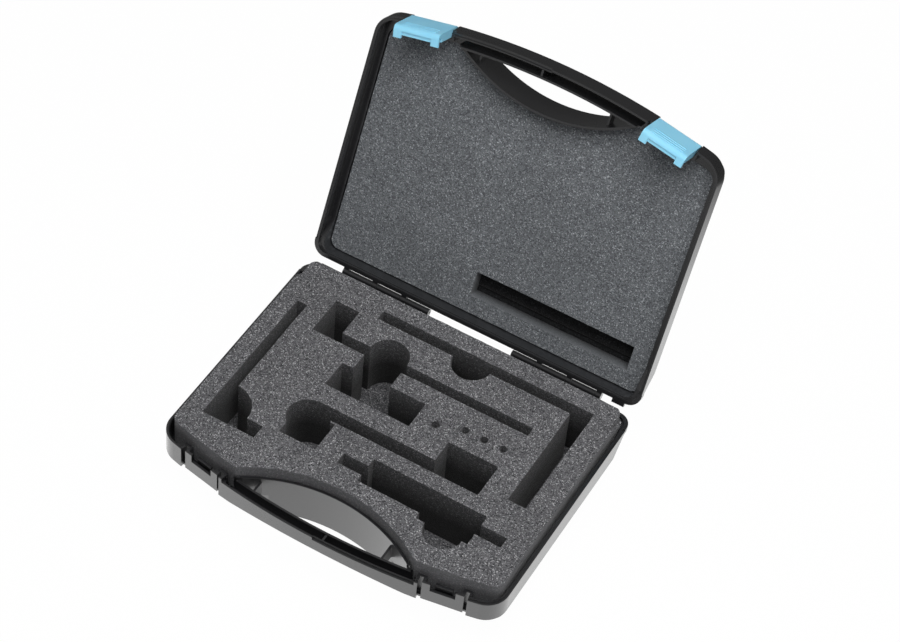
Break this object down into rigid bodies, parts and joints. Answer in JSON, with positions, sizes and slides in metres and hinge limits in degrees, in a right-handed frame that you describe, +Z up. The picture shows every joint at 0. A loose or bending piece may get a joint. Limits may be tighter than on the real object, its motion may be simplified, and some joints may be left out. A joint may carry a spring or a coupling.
{
  "type": "moulded tool case",
  "caption": "Open moulded tool case with an arched front, a split grip handle, two snap latches, a hinged lid and foam inlays cut out for tools.",
  "frame": {"origin": "middle of the flat underside of the base, in plan the middle of the rim outline", "axes": "+Z up, +X along the hinge to the right as seen from the handle side, +Y back towards the hinge; the handle side faces -Y"},
  "size_m": [0.3416, 0.4034, 0.3109],
  "materials": {
    "shell_black": "fine grain, semi-matt polypropylene",
    "latch_blue": "semi-gloss",
    "foam_grey": "open speckled foam",
    "pin_steel": "drawn",
    "tape_tan": "cloth tape"
  },
  "bodies": {
    "base": {"base_shell": "shell_black", "hinge_pin_left": "pin_steel", "hinge_pin_right": "pin_steel", "base_foam": "foam_grey", "base_foam_floor": "foam_grey"},
    "lid": {"lid_shell": "shell_black", "lid_foam": "foam_grey", "lid_foam_back": "foam_grey", "lid_foam_tape": "tape_tan"},
    "latch_left": {"latch_left": "latch_blue"},
    "latch_right": {"latch_right": "latch_blue"}
  },
  "joints": [
    {"name": "lid_hinge", "type": "hinge", "parent": "base", "child": "lid", "pos_m": [0, 0.1376, 0.0589], "axis": [1, 0, 0], "range_deg": [0, 113.4]},
    {"name": "latch_left_pivot", "type": "hinge", "parent": "lid", "child": "latch_left", "pos_m": [-0.1212, 0.24634, 0.2908], "axis": [-0.9843, -0.0701, -0.162], "range_deg": [0, 100]},
    {"name": "latch_right_pivot", "type": "hinge", "parent": "lid", "child": "latch_right", "pos_m": [0.1212, 0.24634, 0.2908], "axis": [-0.9843, 0.0701, 0.162], "range_deg": [0, 100]}
  ]
}
